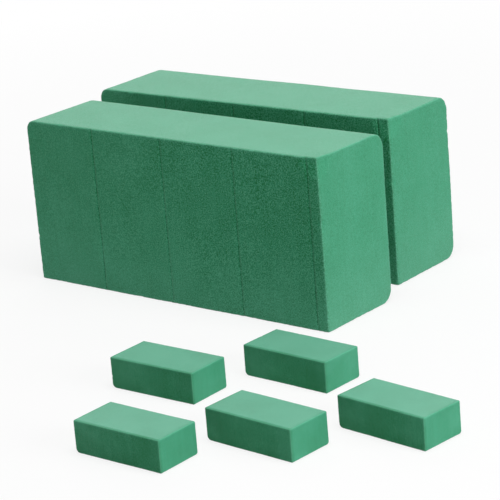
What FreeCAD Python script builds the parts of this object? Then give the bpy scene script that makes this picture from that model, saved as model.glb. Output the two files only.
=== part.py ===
import FreeCAD, Part
import os

# Seven loose bricks of dry floral foam on one surface: two large ones and five small ones.
# Sizes are in millimetres. X runs along the bricks' length, Y from front to back, Z up.

# A large brick stands on a long narrow side, with its broad moulded face to the back.
LARGE_LENGTH = 230.0
LARGE_THICKNESS = 64.0
LARGE_HEIGHT = 105.0
LARGE_BACK_RADIUS = 9.0  # the moulded face's two long edges
LARGE_END_RADIUS = 6.0  # the top edge of the left end

# Shallow score lines run from top to bottom of a large brick's front face, as guides for slicing.
SCORE_PITCH = 55.5  # the first line is this far from the left end
SCORE_COUNT = 4
SCORE_WIDTH = 0.9
SCORE_DEPTH = 0.6

# A small brick lies flat, with its broad moulded face down.
SMALL_LENGTH = 58.0
SMALL_WIDTH = 29.0
SMALL_HEIGHT = 18.0
SMALL_BACK_RADIUS = 1.5  # the lower edge of the back
SMALL_END_RADIUS = 2.5  # the lower edge of the left end

# Each brick's middle, in X and Y from the middle of the front large brick, and its turn about Z in degrees.
LARGE_PLACES = {
    "large_brick_front": (0.0, 0.0, 0.0),
    "large_brick_rear": (-12.5, 85.0, 1.2),
}
SMALL_PLACES = {
    "small_brick_near_left": (132.5, -221.0, 0.0),
    "small_brick_far_left": (87.0, -142.0, 1.0),
    "small_brick_far_right": (142.5, -94.0, -2.0),
    "small_brick_near_middle": (183.5, -177.0, -3.0),
    "small_brick_near_right": (235.0, -132.5, -5.5),
}

X_AXIS = FreeCAD.Vector(1, 0, 0)
Y_AXIS = FreeCAD.Vector(0, 1, 0)
Z_AXIS = FreeCAD.Vector(0, 0, 1)


def rounded_outline(across, width, height, radii):
    """Upright rectangle from the origin, with rounded corners.

    radii are for its low start, low end, high end and high start corners, and 0 is sharp.
    """
    corners = [FreeCAD.Vector(0, 0, 0), across * width, across * width + Z_AXIS * height, Z_AXIS * height]
    ways = [across, Z_AXIS, -across, -Z_AXIS]
    edges = []
    for side in range(4):
        after = (side + 1) % 4
        way, turned, radius = ways[side], ways[after], radii[after]
        start = corners[side] + way * radii[side]
        end = corners[after] - way * radius
        edges.append(Part.makeLine(start, end))
        if radius > 0:
            centre = end + turned * radius
            middle = centre + (way - turned).normalize() * radius
            edges.append(Part.Arc(end, middle, centre + way * radius).toShape())
    return Part.Wire(edges)


def rounded_block(across, width, height, radii, run):
    """A rounded outline carried along the vector run."""
    return Part.Face(rounded_outline(across, width, height, radii)).extrude(run)


def foam_brick(length, width, height, side_radii, front_radii):
    """Block with rounded long edges, seen from the end, and rounded end edges, seen from the front."""
    end_view = rounded_block(Y_AXIS, width, height, side_radii, X_AXIS * length)
    front_view = rounded_block(X_AXIS, length, height, front_radii, Y_AXIS * width)
    return end_view.common(front_view)


def score_line(x):
    """V-shaped cutter across the full height of the front face."""
    half = SCORE_WIDTH / 2
    points = [
        FreeCAD.Vector(x - half, 0, 0),
        FreeCAD.Vector(x + half, 0, 0),
        FreeCAD.Vector(x, SCORE_DEPTH, 0),
        FreeCAD.Vector(x - half, 0, 0),
    ]
    return Part.Face(Part.makePolygon(points)).extrude(Z_AXIS * LARGE_HEIGHT)


def large_brick():
    back_rounded = (0, LARGE_BACK_RADIUS, LARGE_BACK_RADIUS, 0)
    top_left_rounded = (0, 0, 0, LARGE_END_RADIUS)
    brick = foam_brick(LARGE_LENGTH, LARGE_THICKNESS, LARGE_HEIGHT, back_rounded, top_left_rounded)
    for line in range(SCORE_COUNT):
        brick = brick.cut(score_line(SCORE_PITCH * (line + 1)))
    return brick


def small_brick():
    low_back_rounded = (0, SMALL_BACK_RADIUS, 0, 0)
    low_left_rounded = (SMALL_END_RADIUS, 0, 0, 0)
    return foam_brick(SMALL_LENGTH, SMALL_WIDTH, SMALL_HEIGHT, low_back_rounded, low_left_rounded)


def placed(brick, length, width, place):
    """Copy of a brick with its middle at the place's X and Y, turned about Z."""
    x, y, turn = place
    brick = brick.copy()
    brick.translate(FreeCAD.Vector(-length / 2, -width / 2, 0))
    brick.rotate(FreeCAD.Vector(0, 0, 0), Z_AXIS, turn)
    brick.translate(FreeCAD.Vector(x, y, 0))
    return brick


def all_bricks():
    bricks = {}
    for name, place in LARGE_PLACES.items():
        bricks[name] = placed(large_brick(), LARGE_LENGTH, LARGE_THICKNESS, place)
    for name, place in SMALL_PLACES.items():
        bricks[name] = placed(small_brick(), SMALL_LENGTH, SMALL_WIDTH, place)
    return bricks


def main():
    """Write each brick, with the origin under the middle of the whole set."""
    bricks = all_bricks()
    box = Part.makeCompound(list(bricks.values())).optimalBoundingBox(False)
    middle = FreeCAD.Vector(box.Center.x, box.Center.y, box.ZMin)
    os.makedirs("parts", exist_ok=True)
    for name, brick in bricks.items():
        brick.translate(-middle)
        brick.exportStep("parts/" + name + ".step")
        print(name, "valid" if brick.isValid() else "broken", "solids", len(brick.Solids), brick.BoundBox)


main()
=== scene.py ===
import math
import random

import bpy
import numpy as np
from mathutils import Matrix, Vector, noise


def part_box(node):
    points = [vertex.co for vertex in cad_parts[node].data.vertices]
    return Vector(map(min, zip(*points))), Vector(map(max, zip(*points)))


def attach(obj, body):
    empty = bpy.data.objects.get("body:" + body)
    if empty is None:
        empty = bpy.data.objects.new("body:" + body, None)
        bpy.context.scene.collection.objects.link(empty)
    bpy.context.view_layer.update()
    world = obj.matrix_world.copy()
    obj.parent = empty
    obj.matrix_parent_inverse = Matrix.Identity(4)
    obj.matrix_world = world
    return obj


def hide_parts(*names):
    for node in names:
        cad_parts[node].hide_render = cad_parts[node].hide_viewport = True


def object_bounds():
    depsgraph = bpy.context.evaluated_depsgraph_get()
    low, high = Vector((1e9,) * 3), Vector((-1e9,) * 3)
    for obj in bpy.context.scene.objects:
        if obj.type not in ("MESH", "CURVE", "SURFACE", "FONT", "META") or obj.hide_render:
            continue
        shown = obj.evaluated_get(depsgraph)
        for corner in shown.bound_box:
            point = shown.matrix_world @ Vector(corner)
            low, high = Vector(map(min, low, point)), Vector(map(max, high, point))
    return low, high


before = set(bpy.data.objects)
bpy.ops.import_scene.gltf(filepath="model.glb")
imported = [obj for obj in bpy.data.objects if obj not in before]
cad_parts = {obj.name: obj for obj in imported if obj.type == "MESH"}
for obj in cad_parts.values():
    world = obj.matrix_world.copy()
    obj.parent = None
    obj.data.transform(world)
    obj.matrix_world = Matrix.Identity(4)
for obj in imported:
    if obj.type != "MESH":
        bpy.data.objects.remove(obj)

bl_info = {
    "name": "Floral Foam Bricks",
    "version": (1, 0, 0),
    "blender": (4, 5, 0),
    "location": "View3D > Sidebar > Foam",
    "description": "Loose bricks of dry floral foam, with their studio floor, lights and camera",
    "category": "Object",
}

CAD_LOW, CAD_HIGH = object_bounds()
MM = 0.001
NODES = sorted(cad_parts)
MAIN_BRICK = "large_brick_front"
TURNS = {  # degrees about Z, as the CAD bricks are laid out; the others lie square
    "large_brick_rear": 1.2,
    "small_brick_far_left": 1.0,
    "small_brick_far_right": -2.0,
    "small_brick_near_middle": -3.0,
    "small_brick_near_right": -5.5,
}
WHITE = (1.0, 1.0, 1.0, 1.0)


# ---------------------------------------------------------------- kinds of property

def millimetres(label, text, value, low=0.0, high=500.0):
    """A length property, kept in metres and given here in millimetres."""
    return bpy.props.FloatProperty(
        name=label, description=text, default=value * MM, min=low * MM, max=high * MM,
        precision=5, subtype="DISTANCE", unit="LENGTH")


def colour(label, text, value):
    """An opaque colour property, in linear light."""
    return bpy.props.FloatVectorProperty(
        name=label, description=text, default=value, size=3, min=0.0, max=1.0, subtype="COLOR")


def share(label, text, value, low=0.0, high=1.0):
    """A plain number, usually from 0 to 1."""
    return bpy.props.FloatProperty(name=label, description=text, default=value, min=low, max=high)


def count(label, text, value):
    """A whole number."""
    return bpy.props.IntProperty(name=label, description=text, default=value, min=0)


def angle(label, text, degrees):
    """An angle property, kept in radians and given here in degrees."""
    return bpy.props.FloatProperty(
        name=label, description=text, default=math.radians(degrees), subtype="ANGLE", unit="ROTATION")


def watts(label, text, value):
    """A light's power."""
    return bpy.props.FloatProperty(name=label, description=text, default=value, min=0.0, unit="POWER")


# ---------------------------------------------------------------- sizes and colours

class LargeBrickSettings(bpy.types.PropertyGroup):
    """Shape and colour of a large brick, which stands on a long narrow side."""
    body: colour("Foam", "The foam's own colour", (0.060, 0.385, 0.215))
    contrast: share("Contrast", "How strongly the cells stand out", 0.8, high=2.0)
    mottling: share("Mottling", "How strongly the lighter and darker clouds stand out", 0.25)
    # Painted shade: the front's colour is made deeper, standing in for the shade that falls on it.
    painted_front_shade: share("Sawn shade", "How much deeper the colour is on the sawn front", 0.36)
    # Below 0 the cut faces are paler at the foot, which is painted bounce light from the floor.
    foot: share("Foot", "How much deeper (or paler, below 0) a cut face is at its foot", -0.60, low=-1.0)
    # Painted sheen on the uncut faces, lifting them towards the pale haze colour; none on the large bricks.
    painted_sheen: share("Dust", "How much pale dust of crushed cells lies on the uncut faces", 0.0)
    # Painted bounce light: the foot of the cut faces is lifted towards the pale haze colour.
    painted_foot_bounce: share("Foot dust", "How much of it lies at the foot of the cut faces", 0.055)
    sheen: share("Sheen", "Soft pale bloom of the cell walls at a low angle", 0.08)
    step: millimetres("Mesh step", "Distance between mesh lines on the flat of a face", 1.06)
    back_radius: millimetres("Back radius", "Radius of the moulded back face's two long edges", 9.0)
    end_radius: millimetres("End radius", "Radius of the left end's top edge", 6.0)
    cut_radius: millimetres("Cut edge radius", "Slight rounding of every other edge", 0.9)
    score_pitch: millimetres("Score pitch", "From the left end to the first line, and between lines", 55.5)
    score_count: count("Score lines", "Number of score lines", 4)
    score_width: millimetres("Score width", "Width of a score line", 0.9)
    score_depth: millimetres("Score depth", "Depth of a score line", 0.6)
    wave: millimetres("Wave", "How far the faces stray from flat", 0.22)
    grain: millimetres("Grain", "Height of the coarse cell relief", 0.07)
    crumble: millimetres("Crumble", "How far the edges are nibbled away", 0.35)
    chips: count("Chips", "Small chips knocked out of the edges", 7)
    chip_size: millimetres("Chip size", "Radius of the largest chip", 1.9)


class SmallBrickSettings(bpy.types.PropertyGroup):
    """Shape and colour of a small brick, which lies flat."""
    body: colour("Foam", "The foam's own colour", (0.062, 0.400, 0.230))
    contrast: share("Contrast", "How strongly the cells stand out", 0.25, high=2.0)
    mottling: share("Mottling", "How strongly the lighter and darker clouds stand out", 0.60)
    # Painted shade: the front's colour is made deeper, standing in for the shade that falls on it.
    painted_front_shade: share("Sawn shade", "How much deeper the colour is on the sawn front", 0.52)
    # Above 0 the cut faces grow darker towards the foot.
    foot: share("Foot", "How much deeper (or paler, below 0) a cut face is at its foot", 0.15, low=-1.0)
    # Painted sheen: the uncut faces, mostly the tops, are lifted towards the pale haze colour.
    painted_sheen: share("Dust", "How much pale dust of crushed cells lies on the uncut faces", 0.10)
    painted_foot_bounce: share("Foot dust", "How much of it lies at the foot of the cut faces", 0.0)
    sheen: share("Sheen", "Soft pale bloom of the cell walls at a low angle", 0.16)
    step: millimetres("Mesh step", "Distance between mesh lines on the flat of a face", 0.45)
    back_radius: millimetres("Back radius", "Radius of the lower edge of the back", 1.5)
    end_radius: millimetres("End radius", "Radius of the lower edge of the left end", 2.5)
    cut_radius: millimetres("Cut edge radius", "Slight rounding of every other edge", 0.55)
    wave: millimetres("Wave", "How far the faces stray from flat", 0.1)
    grain: millimetres("Grain", "Height of the coarse cell relief", 0.025)
    crumble: millimetres("Crumble", "How far the edges are nibbled away", 0.08)
    chips: count("Chips", "Small chips knocked out of the edges", 3)
    chip_size: millimetres("Chip size", "Radius of the largest chip", 1.1)


class FoamSettings(bpy.types.PropertyGroup):
    """Grain and colours that all the foam shares."""
    pore: colour("Pore", "Open cells, which look into the foam's shade", (0.002, 0.160, 0.040))
    # This is also the colour that the painted edge highlight lifts the cut edges towards.
    strut: colour("Cell wall", "Cell walls and crushed foam, which look paler", (0.200, 0.575, 0.395))
    # Colour of the painted haze: painted sheen on the uncut faces and painted bounce light at the foot.
    painted_haze_colour: colour("Dust", "Dust of crushed cells", (0.700, 0.900, 0.860))
    cell: millimetres("Cell", "Size of a fine cell", 0.55)
    clump: millimetres("Clump", "Size of a clump of cells", 0.74)
    mottle: millimetres("Mottle", "Size of the faint clouds of lighter and darker foam", 22.0)
    relief: millimetres("Relief", "Height of the fine cell relief", 0.5)


class StudioSettings(bpy.types.PropertyGroup):
    """Floor, lights and camera."""
    floor_colour: colour("Floor", "Pale floor", (0.95, 0.95, 0.95))
    floor_bounce: share("Floor bounce", "How much light the floor sends back up", 0.72)
    floor_glow: share("Floor glow", "How much of the floor's look is even white, to soften shadows", 0.80)
    floor_fade: millimetres("Floor fade", "How far out the floor turns wholly white", 1000.0, high=5000.0)
    ambient: share("Ambient", "Even light from all round", 0.21)
    overhead: watts("Overhead light", "Power of the light above the bricks", 15.6)
    side: watts("Side light", "Power of the light to the right", 14.5)
    back: watts("Back light", "Power of the light behind", 5.5)
    lens: bpy.props.FloatProperty(
        name="Lens", description="Focal length in mm", default=158.4, min=10.0, unit="CAMERA")
    azimuth: angle("Azimuth", "Camera's turn round the bricks, from straight in front to the right", 40.01)
    elevation: angle("Elevation", "Camera's look down", 17.61)
    roll: angle("Roll", "Camera's tilt about its line of sight", -4.68)
    place: bpy.props.FloatVectorProperty(
        name="Camera place", description="From the low front left corner of the front large brick",
        default=(0.9699, -0.9466, 0.4355), size=3, subtype="XYZ", unit="LENGTH")


# ---------------------------------------------------------------- shader maths

class Value:
    """A shader socket that takes part in sums: each sum adds a Math node."""

    def __init__(self, shader, socket):
        self.shader = shader
        self.socket = socket

    def sum(self, operation, first, second, clamp=False):
        settings = {"operation": operation, "use_clamp": clamp}
        return self.shader.add("ShaderNodeMath", settings, {0: first, 1: second})

    def __add__(self, other):
        return self.sum("ADD", self, other)

    __radd__ = __add__

    def __sub__(self, other):
        return self.sum("SUBTRACT", self, other)

    def __rsub__(self, other):
        return self.sum("SUBTRACT", other, self)

    def __mul__(self, other):
        return self.sum("MULTIPLY", self, other)

    __rmul__ = __mul__

    def clamped(self):
        """The value kept between 0 and 1."""
        return self.sum("ADD", self, 0.0, clamp=True)


class Shader:
    """A material or world under construction."""

    def __init__(self, tree):
        self.tree = tree
        self.tree.nodes.clear()

    def add(self, kind, settings=None, inputs=None, output=0):
        """A node of that kind, with its settings made first and its sockets then given values or links."""
        node = self.tree.nodes.new(kind)
        for name, value in (settings or {}).items():
            if name == "stops":
                self.set_stops(node.color_ramp, value)
            else:
                setattr(node, name, value)
        for name, value in (inputs or {}).items():
            if isinstance(value, Value):
                self.tree.links.new(value.socket, node.inputs[name])
            else:
                node.inputs[name].default_value = value
        return Value(self, node.outputs[output]) if node.outputs else None

    @staticmethod
    def set_stops(ramp, stops):
        """Gives a colour ramp its grey stops, as pairs of place and brightness."""
        while len(ramp.elements) < len(stops):
            ramp.elements.new(1.0)
        for element, (place, grey) in zip(ramp.elements, stops):
            element.position = place
            element.color = (grey, grey, grey, 1.0)

    def ramp(self, value, *stops):
        """The value passed through a ramp of grey stops."""
        return self.add("ShaderNodeValToRGB", {"stops": stops}, {0: value})

    def blend(self, factor, first, second):
        """Two colours mixed by factor."""
        inputs = {0: factor, 6: first, 7: second}  # by number, as a Mix node has several sockets of one name
        return self.add("ShaderNodeMix", {"data_type": "RGBA"}, inputs, output=2)

    def mixed(self, factor, first, second):
        """Two surfaces or backgrounds mixed by factor."""
        return self.add("ShaderNodeMixShader", {}, {0: factor, 1: first, 2: second})

    def noise(self, place, size, detail=2.0, roughness=0.5):
        """Cloudy noise from 0 to 1, with features of that size in metres."""
        inputs = {"Vector": place, "Scale": 1.0 / size, "Detail": detail, "Roughness": roughness}
        return self.add("ShaderNodeTexNoise", {"noise_dimensions": "3D"}, inputs)

    def cells(self, place, size, feature="F1"):
        """Distance to the middle of the nearest cell, or to its wall, in cell sizes."""
        inputs = {"Vector": place, "Scale": 1.0 / size}
        return self.add("ShaderNodeTexVoronoi", {"feature": feature}, inputs)

    def stored(self, name):
        """The number that the mesh holds for each point under that name."""
        return self.add("ShaderNodeAttribute", {"attribute_name": name}, output="Fac")


def opaque(rgb):
    """The colour with an alpha of 1."""
    return (*rgb, 1.0)


# ---------------------------------------------------------------- foam material

SMALL_CELLS = 0.7  # size of a small brick's cells against a large one's
SAW_MARK = 2.4 * MM  # width of a saw mark
SAW_STRETCH = (1.0, 1.0, 0.03)  # saw marks run upright

# How strongly each layer tells in the foam's colour, from 0 to 1.
CELL_SHADE = 0.12
CLUMP_SHADE = 0.75
SAW_MARK_SHADE = 0.22
# The score lines' darkening is painted shade in their grooves.
SCORE_SHADE = 0.2
SCORE_PIT_SHADE = 0.5
WALL_LIGHT = 0.06
CLUMP_LIGHT = 0.42
CLOUD_LIGHT = 0.64
# The rim's lift is a painted highlight along the cut edges, where light would catch them.
PAINTED_EDGE_HIGHLIGHT = 0.35

# Relief, as shares of the relief's height.
SMOOTH_RELIEF = 0.3
COARSE_RELIEF = 0.7
CELL_RELIEF = 0.2
WALL_RELIEF = 0.1
BUMP_STRENGTH = 0.6

# Gloss.
SMOOTH_ROUGHNESS = 0.26
COARSE_ROUGHNESS = 0.45
CELL_ROUGHNESS = 0.12
SHEEN_ROUGHNESS = 0.45
FOAM_IOR = 1.45
FOAM_SPECULAR = 0.25


def foam_material(name, foam, brick, scale):
    """Open-celled foam: cells and their walls in clumps, clouds and saw marks, with painted shade, painted
    edge highlights and painted haze.
    """
    material = bpy.data.materials.new(name)
    material.use_nodes = True
    shader = Shader(material.node_tree)
    place = shader.add("ShaderNodeTexCoord", output="Object")
    rim = shader.stored("rim")
    coarse = shader.stored("coarse")
    sawn = shader.stored("sawn")
    score = shader.stored("score")
    dusty = shader.stored("dusty")

    # Each pattern is made here, and the ramps then pick out its layers by place and brightness.
    pores = shader.cells(place, foam.cell * scale)
    walls = shader.cells(place, foam.cell * scale, "DISTANCE_TO_EDGE")
    clumps = shader.noise(place, foam.clump * scale, detail=3.0, roughness=0.6)
    clouds = shader.noise(place, foam.mottle, detail=3.0)
    upright = shader.add("ShaderNodeVectorMath", {"operation": "MULTIPLY"}, {0: place, 1: SAW_STRETCH})
    saw_marks = shader.noise(upright, SAW_MARK)
    hollow = shader.ramp(pores, (0.10, 1.0), (0.55, 0.0))
    wall = shader.ramp(walls, (0.0, 1.0), (0.14, 0.0))
    sunken = shader.ramp(clumps, (0.38, 1.0), (0.52, 0.0))
    raised = shader.ramp(clumps, (0.54, 0.0), (0.64, 1.0))

    dark = (hollow * CELL_SHADE + sunken * coarse * CLUMP_SHADE) * brick.contrast
    # Painted shade: the front, and the ends less, are darkened towards the pore colour.
    dark = dark + sawn * brick.painted_front_shade
    dark = dark + (0.5 - clouds) * brick.mottling
    dark = dark + (0.5 - saw_marks) * SAW_MARK_SHADE
    # Painted shade in the score grooves, deeper where the cells are sunken.
    dark = dark + score * (SCORE_SHADE + SCORE_PIT_SHADE * sunken)
    light = (wall * WALL_LIGHT + raised * coarse * CLUMP_LIGHT) * brick.contrast
    light = light + (clouds - 0.5) * brick.mottling * CLOUD_LIGHT
    # Painted highlight: along the cut edges the colour is lifted towards the pale wall colour.
    light = light + rim * PAINTED_EDGE_HIGHLIGHT
    shaded = shader.blend(dark.clamped(), opaque(brick.body), opaque(foam.pore))
    tinted = shader.blend(light.clamped(), shaded, opaque(foam.strut))
    # Painted haze: painted sheen on the uncut faces and painted bounce light at the foot of the cut faces.
    hazed = shader.blend(dusty, tinted, opaque(foam.painted_haze_colour))

    height = clumps * (SMOOTH_RELIEF + COARSE_RELIEF * coarse)
    height = height + CELL_RELIEF * (1 - hollow) + WALL_RELIEF * wall
    bump = shader.add("ShaderNodeBump", {}, {
        "Strength": BUMP_STRENGTH, "Distance": foam.relief * scale, "Height": height})
    surface = shader.add("ShaderNodeBsdfPrincipled", {}, {
        "Base Color": hazed,
        "Roughness": SMOOTH_ROUGHNESS + COARSE_ROUGHNESS * coarse + CELL_ROUGHNESS * hollow,
        "IOR": FOAM_IOR,
        "Specular IOR Level": FOAM_SPECULAR,
        "Sheen Weight": brick.sheen,
        "Sheen Roughness": SHEEN_ROUGHNESS,
        "Normal": bump})
    shader.add("ShaderNodeOutputMaterial", {}, {"Surface": surface})
    return material


# ---------------------------------------------------------------- flat box and its edges

EDGE_LINES = 4  # mesh lines across the strip along each edge
EDGE_STRIP = 1.35  # width of that strip, in cut radii


def mesh_lines(length, step, edge, marks=(), half_mark=0.0):
    """Places of the mesh lines along one side: close at both ends and at marks, and even between them."""
    stops = [0.0, edge]
    for mark in marks:
        stops += [mark - half_mark, mark, mark + half_mark]
    stops += [length - edge, length]
    lines = [0.0]
    for start, end in zip(stops, stops[1:]):
        pitch = edge / EDGE_LINES if start == 0.0 or end == length else step
        spaces = max(1, round((end - start) / pitch))
        lines += [start + (end - start) * i / spaces for i in range(1, spaces + 1)]
    return np.array(lines)


def shell(xs, ys, zs):
    """Vertices and quads of a box's surface, with a vertex wherever the mesh lines cross."""
    shape = (len(xs), len(ys), len(zs))
    outside = np.ones(shape, bool)
    outside[1:-1, 1:-1, 1:-1] = False
    number = np.full(shape, -1)
    number[outside] = np.arange(outside.sum())
    points = np.stack(np.meshgrid(xs, ys, zs, indexing="ij"), axis=-1)[outside]
    quads = []
    for axis in range(3):
        for end in (0, -1):
            side = np.take(number, end, axis=axis)
            ring = [side[:-1, :-1], side[1:, :-1], side[1:, 1:], side[:-1, 1:]]
            if (end == 0) != (axis == 1):
                ring.reverse()
            quads.append(np.stack(ring, axis=-1).reshape(-1, 4))
    return points, np.concatenate(quads)


def edge_depths(points, size):
    """For each of a box's twelve edges, as (axis, end, axis, end): the points' depths below its two faces."""
    for first, second in ((1, 2), (0, 2), (0, 1)):
        for first_end in (0, 1):
            for second_end in (0, 1):
                depths = np.stack([
                    abs(first_end * size[first] - points[:, first]),
                    abs(second_end * size[second] - points[:, second])], axis=1)
                yield (first, first_end, second, second_end), depths


def rounding(depths, radius):
    """How far in points move to round the edge of two faces, from their depths below both."""
    reach = radius - depths
    moved = np.zeros_like(depths)
    near = (reach > 0).all(axis=1)
    reach = reach[near]
    longest = reach.max(axis=1, keepdims=True)
    turn = reach.min(axis=1, keepdims=True) / longest * math.pi / 4
    along = longest * np.cos(turn)
    across = longest * np.sin(turn)
    moved[near] = reach - np.where(reach == longest, along, across)
    return moved


def round_edges(points, size, radii, cut_radius):
    """Points of a box with all twelve edges rounded. radii holds the large ones."""
    rounded = points.copy()
    for edge, depths in edge_depths(points, size):
        first, first_end, second, second_end = edge
        moved = rounding(depths, radii.get(edge, cut_radius))
        rounded[:, first] += moved[:, 0] * (1 - 2 * first_end)
        rounded[:, second] += moved[:, 1] * (1 - 2 * second_end)
    return rounded


def cut_edge_nearness(points, size, radii, reach):
    """1 at a box's cut edges, which are those not in radii, falling to 0 at reach from them."""
    nearness = np.zeros(len(points))
    for edge, depths in edge_depths(points, size):
        if edge not in radii:
            nearness = np.maximum(nearness, 1 - depths.max(axis=1) / reach)
    return nearness


# ---------------------------------------------------------------- score lines, chips and roughness

LARGE_WEAR = (  # place as shares of the brick's size, radius and depth in mm
    ((1.0, 0.0, 1.0), 14.0, 2.2),
    ((1.0, 0.0, 0.63), 3.2, 0.8),
)
CHIP_RUN = (0.04, 0.96)  # where along an edge a chip may be
CHIP_SIZES = (0.45, 1.0)  # radii, as shares of the largest chip's
CHIP_DEPTHS = (0.16, 0.34)  # as shares of the chip's radius
CHIP_FALL = 1.5  # how quickly a chip grows shallow towards its rim

NIBBLE_REACH = 2.2  # how far from an edge it is nibbled, in cut radii
WAVE_SIZE = 38  # length of a wave, in mesh steps
GRAIN_SIZE = 2.3  # size of the grain, in mesh steps
BITE_SIZE = 2.6  # length of a bite out of an edge, in mesh steps
BITE_SHARE = 0.1  # raises the share of an edge that is bitten above half
SEED_SHIFT = Vector((17.3, 41.7, 73.1))


def noise_values(points, size, seed):
    """Smooth noise from about -1 to 1 at each point, with features of that size."""
    shift = SEED_SHIFT * seed
    return np.array([noise.noise(Vector(p) / size + shift) for p in points])


def score_profile(points, marks, width):
    """1 along the middle of each score line, falling to 0 at its sides and behind the front face."""
    fade = np.clip(1 - points[:, 1] / (3 * width), 0, 1)
    profile = np.zeros(len(points))
    for mark in marks:
        profile = np.maximum(profile, 1 - abs(points[:, 0] - mark) / (width / 2))
    return profile * fade


def random_chips(number, chip_size, rng):
    """Chips at random along a box's upright and top edges: place as shares of its size, radius and depth."""
    chips = []
    for _ in range(number):
        share_of = [rng.choice((0.0, 1.0)), rng.choice((0.0, 1.0)), 1.0]
        share_of[rng.choice((0, 0, 1, 2, 2))] = rng.uniform(*CHIP_RUN)
        radius = chip_size * rng.uniform(*CHIP_SIZES)
        chips.append((share_of, radius, radius * rng.uniform(*CHIP_DEPTHS)))
    return chips


def knock_chips(points, size, chips):
    """Points with a shallow dent at each chip, pushed in from the faces that meet there.

    At a corner the push is level, from the two upright faces.
    """
    dented = points.copy()
    for share_of, radius, depth in chips:
        share_of = np.array(share_of)
        inward = np.where(share_of == 0.0, 1.0, np.where(share_of == 1.0, -1.0, 0.0))
        if inward.all():
            inward[2] = 0.0
        inward /= np.linalg.norm(inward)
        away = np.linalg.norm(points - share_of * size, axis=1) / radius
        fall = np.clip(1 - away ** 2, 0, 1) ** CHIP_FALL
        dented += np.outer(fall * depth, inward)
    return dented


def surface_normals(mesh):
    """The mesh's vertex normals, a row for each vertex."""
    normals = np.zeros(len(mesh.vertices) * 3)
    mesh.vertices.foreach_get("normal", normals)
    return normals.reshape(-1, 3)


def roughen(mesh, points, nearness, settings, seed):
    """Moves the mesh's points in and out by waves, grain and bites, but never below its underside."""
    waves = noise_values(points, WAVE_SIZE * settings.step, seed) * settings.wave
    grain = noise_values(points, settings.step * GRAIN_SIZE, seed + 1) * settings.grain
    bites = np.clip(noise_values(points, BITE_SIZE * settings.step, seed + 2) + BITE_SHARE, 0, 1)
    height = waves + grain - nearness * bites * settings.crumble
    points = points + surface_normals(mesh) * height[:, None]
    points[:, 2] = np.maximum(points[:, 2], 0.0)
    mesh.vertices.foreach_set("co", points.astype(np.float32).ravel())
    mesh.update()


# ---------------------------------------------------------------- bricks

CUT_REACH = 2 * MM  # how far round an edge a cut face's look reaches
END_SHADE = 0.26  # how deep the painted shade on the ends is, against the front's
FOOT_HEIGHT = 0.7  # of the brick's height
FRONT_BOUNCE = 0.4  # painted bounce light at the front's foot, against that at an end's
SMOOTH_FACE = 0.35  # how open the cells are on an uncut face
OPEN_FRONT = 0.65  # how much more open they are on the front
OPEN_END = 0.1  # and on the ends
OPENING = (0.1591, 0.6136)  # shares of the brick's length, between which the front's cells open up
OPENNESS = (0.32, 1.0)  # how much of OPEN_FRONT is reached at those places
HAZE_LIMIT = 0.25  # a face with more painted shade than this gets no painted sheen, only painted bounce light at its foot


def store(mesh, name, values):
    """Keeps one number for each vertex under that name, for the material to read."""
    attribute = mesh.attributes.new(name, "FLOAT", "POINT")
    attribute.data.foreach_set("value", values.astype(np.float32))


def store_faces(mesh, points, size, settings):
    """Stores each point's painted shade, how open its cells are, and its painted haze of sheen and bounce
    light.
    """
    front = np.clip(1 - points[:, 1] / CUT_REACH, 0, 1)
    from_end = np.minimum(points[:, 0], size[0] - points[:, 0])
    ends = np.clip(1 - from_end / CUT_REACH, 0, 1) * (1 - front)
    across = np.interp(points[:, 0] / size[0], OPENING, OPENNESS)
    low = np.clip(1 - points[:, 2] / (FOOT_HEIGHT * size[2]), 0, 1)
    # Painted shade: deepest on the front, a quarter as deep on the ends, none on the uncut faces.
    sawn = front + END_SHADE * ends
    uncut = np.clip(1 - sawn / HAZE_LIMIT, 0, 1)
    # Painted bounce light from the floor, pale at the foot of the cut faces.
    painted_foot_bounce = settings.painted_foot_bounce * low ** 2 * (FRONT_BOUNCE * front + ends)
    # The painted shade changes towards the foot: on the large bricks it thins there, which is painted bounce
    # light.
    store(mesh, "sawn", sawn * (1 + settings.foot * low))
    store(mesh, "coarse", SMOOTH_FACE + OPEN_FRONT * front * across + OPEN_END * ends)
    # Painted haze: painted sheen on the uncut faces plus the painted bounce light at the foot.
    store(mesh, "dusty", settings.painted_sheen * uncut + painted_foot_bounce)


def foam_mesh(name, size, settings, radii, marks, wear, seed):
    """A brick's mesh, from the origin at its low front left corner."""
    rng = random.Random(seed)
    edge = settings.cut_radius * EDGE_STRIP
    half_mark = settings.score_width / 2 if marks else 0.0
    points, quads = shell(
        mesh_lines(size[0], settings.step, edge, marks, half_mark),
        mesh_lines(size[1], settings.step, edge),
        mesh_lines(size[2], settings.step, edge))
    shaped = round_edges(points, size, radii, settings.cut_radius)
    score = np.zeros(len(points))
    if marks:
        score = score_profile(points, marks, settings.score_width)
        shaped[:, 1] += settings.score_depth * score
    worn = [(share_of, radius * MM, depth * MM) for share_of, radius, depth in wear]
    shaped = knock_chips(shaped, size, worn + random_chips(settings.chips, settings.chip_size, rng))

    mesh = bpy.data.meshes.new(name)
    mesh.from_pydata(shaped, [], quads)
    mesh.update()
    nearness = cut_edge_nearness(points, size, radii, settings.cut_radius * NIBBLE_REACH)
    roughen(mesh, shaped, nearness, settings, seed)
    mesh.polygons.foreach_set("use_smooth", np.ones(len(mesh.polygons), bool))
    # Nearness to the cut edges, which places the painted edge highlight.
    store(mesh, "rim", nearness ** 2)
    store(mesh, "score", score)
    store_faces(mesh, points, size, settings)
    return mesh


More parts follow.
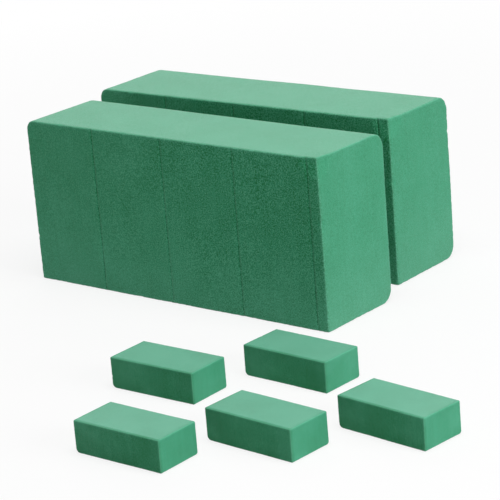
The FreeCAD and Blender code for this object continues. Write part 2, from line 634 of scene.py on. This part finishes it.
def brick_space(name):
    """Size of a brick, and the matrix from its own low front left corner to the frame."""
    low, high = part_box(name)
    # A turned brick's box is longer and wider than the brick, so the turn is worked back out of it.
    turn = math.radians(TURNS.get(name, 0.0))
    cosine = math.cos(turn)
    sine = abs(math.sin(turn))
    across, deep, height = high - low
    spread = cosine ** 2 - sine ** 2
    length = (across * cosine - deep * sine) / spread
    width = (deep * cosine - across * sine) / spread
    middle = Vector(((low.x + high.x) / 2, (low.y + high.y) / 2, low.z))
    corner = Matrix.Translation(Vector((-length / 2, -width / 2, 0)))
    matrix = Matrix.Translation(middle) @ Matrix.Rotation(turn, 4, "Z") @ corner
    return Vector((length, width, height)), matrix


def build_brick(name, settings, radii, marks, wear, material):
    """One foam brick in the place of its CAD node."""
    size, matrix = brick_space(name)
    seed = NODES.index(name) + 1
    mesh = foam_mesh(name + "_foam", np.array(size), settings, radii, marks, wear, seed)
    mesh.transform(matrix)
    mesh.materials.append(material)
    brick = bpy.data.objects.new(name + "_foam", mesh)
    bpy.context.scene.collection.objects.link(brick)
    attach(brick, name)
    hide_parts(name)


def bricks_of(kind):
    """Names of the frame's large or small bricks."""
    names = [name for name in NODES if name.startswith(kind)]
    if not names:
        raise RuntimeError("The frame holds no " + kind + " bricks")
    return names


class LargeBricks(bpy.types.Operator):
    """Build the large bricks, on edge, with score lines on the front face"""
    bl_idname = "foam.large_bricks"
    bl_label = "Large bricks"

    def execute(self, context):
        shape = context.scene.large_brick
        radii = {  # by edge, as in edge_depths
            (1, 1, 2, 0): shape.back_radius,
            (1, 1, 2, 1): shape.back_radius,
            (0, 0, 2, 1): shape.end_radius,
        }
        marks = [shape.score_pitch * (i + 1) for i in range(shape.score_count)]
        material = foam_material("large_brick_foam", context.scene.foam, shape, 1.0)
        for name in bricks_of("large"):
            build_brick(name, shape, radii, marks, LARGE_WEAR, material)
        return {"FINISHED"}


class SmallBricks(bpy.types.Operator):
    """Build the small bricks, lying flat"""
    bl_idname = "foam.small_bricks"
    bl_label = "Small bricks"

    def execute(self, context):
        shape = context.scene.small_brick
        radii = {(1, 1, 2, 0): shape.back_radius, (0, 0, 2, 0): shape.end_radius}
        material = foam_material("small_brick_foam", context.scene.foam, shape, SMALL_CELLS)
        for name in bricks_of("small"):
            build_brick(name, shape, radii, (), (), material)
        return {"FINISHED"}


# ---------------------------------------------------------------- studio

FLOOR_REACH = 12.0  # metres from the frame's origin to the floor's sides
FLOOR_GAP = 0.2 * MM  # keeps the floor just clear of the bricks
FADE_START = 0.25  # of the floor's fade distance
SENSOR_WIDTH = 36.0  # mm
LIGHTS = (  # name, setting that holds its power, size, and place from the middle of the bricks, in metres
    ("overhead_light", "overhead", 1.0, (0.30, -0.15, 1.5)),
    ("side_light", "side", 0.9, (1.7, 0.15, 0.55)),
    ("back_light", "back", 1.3, (-1.0, 1.2, 0.95)),
)


def floor_material(studio):
    """Pale floor that looks evenly white, with faint shadows, and sends less light back up."""
    material = bpy.data.materials.new("studio_floor")
    material.use_nodes = True
    shader = Shader(material.node_tree)
    seen = shader.add("ShaderNodeLightPath", output="Is Camera Ray")
    matt = shader.add("ShaderNodeBsdfDiffuse", {}, {"Color": opaque(studio.floor_colour)})
    dull = shader.add("ShaderNodeBsdfDiffuse", {}, {"Color": opaque([studio.floor_bounce] * 3)})
    glow = shader.add("ShaderNodeEmission", {}, {"Color": WHITE, "Strength": 1.0})
    place = shader.add("ShaderNodeTexCoord", output="Object")
    away = shader.add("ShaderNodeVectorMath", {"operation": "LENGTH"}, {0: place}, output="Value")
    stops = ((FADE_START, studio.floor_glow), (1.0, 1.0))
    whitened = shader.ramp(away * (1 / studio.floor_fade), *stops)
    surface = shader.mixed(seen, dull, shader.mixed(whitened, matt, glow))
    shader.add("ShaderNodeOutputMaterial", {}, {"Surface": surface})
    return material


def lay_floor(studio):
    """Square floor just below the bricks."""
    mesh = bpy.data.meshes.new("floor")
    corners = [(x * FLOOR_REACH, y * FLOOR_REACH, 0) for x, y in ((-1, -1), (1, -1), (1, 1), (-1, 1))]
    mesh.from_pydata(corners, [], [(0, 1, 2, 3)])
    mesh.materials.append(floor_material(studio))
    floor = bpy.data.objects.new("floor", mesh)
    floor.location.z = CAD_LOW.z - FLOOR_GAP
    bpy.context.scene.collection.objects.link(floor)


def soft_light(name, power, size, place, target):
    """Square soft light at place, aimed at target."""
    data = bpy.data.lights.new(name, "AREA")
    data.energy = power
    data.shape = "SQUARE"
    data.size = size
    light = bpy.data.objects.new(name, data)
    light.location = place
    light.rotation_euler = (target - place).to_track_quat("-Z", "Y").to_euler()
    bpy.context.scene.collection.objects.link(light)


def studio_world(ambient):
    """White surroundings, which light the bricks less than they show."""
    world = bpy.data.worlds.new("studio")
    world.use_nodes = True
    shader = Shader(world.node_tree)
    scattered = shader.add("ShaderNodeLightPath", output="Is Diffuse Ray")
    around = shader.add("ShaderNodeBackground", {}, {"Color": WHITE, "Strength": ambient})
    backdrop = shader.add("ShaderNodeBackground", {}, {"Color": WHITE, "Strength": 1.0})
    surface = shader.mixed(scattered, backdrop, around)
    shader.add("ShaderNodeOutputWorld", {}, {"Surface": surface})
    bpy.context.scene.world = world


def set_camera(studio):
    """Camera in front of the bricks and to their right."""
    data = bpy.data.cameras.new("camera")
    data.sensor_width = SENSOR_WIDTH
    data.lens = studio.lens
    camera = bpy.data.objects.new("camera", data)
    look = Matrix.Rotation(studio.azimuth, 4, "Z")
    look = look @ Matrix.Rotation(math.pi / 2 - studio.elevation, 4, "X")
    look = look @ Matrix.Rotation(studio.roll, 4, "Z")
    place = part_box(MAIN_BRICK)[0] + Vector(studio.place)
    camera.matrix_world = Matrix.Translation(place) @ look
    bpy.context.scene.collection.objects.link(camera)
    bpy.context.scene.camera = camera


class Studio(bpy.types.Operator):
    """Lay the pale floor, hang the soft lights and set the camera"""
    bl_idname = "foam.studio"
    bl_label = "Floor, lights and camera"

    def execute(self, context):
        studio = context.scene.studio
        lay_floor(studio)
        middle = (CAD_LOW + CAD_HIGH) / 2
        for name, setting, size, offset in LIGHTS:
            soft_light(name, getattr(studio, setting), size, middle + Vector(offset), middle)
        studio_world(studio.ambient)
        context.scene.view_settings.view_transform = "Standard"
        set_camera(studio)
        return {"FINISHED"}


# ---------------------------------------------------------------- add-on

SETTINGS = {
    "large_brick": LargeBrickSettings,
    "small_brick": SmallBrickSettings,
    "foam": FoamSettings,
    "studio": StudioSettings,
}
OPERATORS = (LargeBricks, SmallBricks, Studio)


class FoamPanel(bpy.types.Panel):
    """Lists the pieces to build and their settings"""
    bl_idname = "VIEW3D_PT_foam_bricks"
    bl_label = "Floral foam bricks"
    bl_space_type = "VIEW_3D"
    bl_region_type = "UI"
    bl_category = "Foam"

    def draw(self, context):
        for operator in OPERATORS:
            self.layout.operator(operator.bl_idname)
        for name in SETTINGS:
            group = getattr(context.scene, name)
            column = self.layout.column(align=True)
            for field in group.__annotations__:
                column.prop(group, field)


CLASSES = (*SETTINGS.values(), *OPERATORS, FoamPanel)


def register():
    for cls in CLASSES:
        bpy.utils.register_class(cls)
    for name, group in SETTINGS.items():
        setattr(bpy.types.Scene, name, bpy.props.PointerProperty(type=group))


def unregister():
    for name in SETTINGS:
        delattr(bpy.types.Scene, name)
    for cls in reversed(CLASSES):
        bpy.utils.unregister_class(cls)


def main():
    register()
    bpy.ops.foam.large_bricks()
    bpy.ops.foam.small_bricks()
    bpy.ops.foam.studio()


if __name__ == "__main__":
    main()
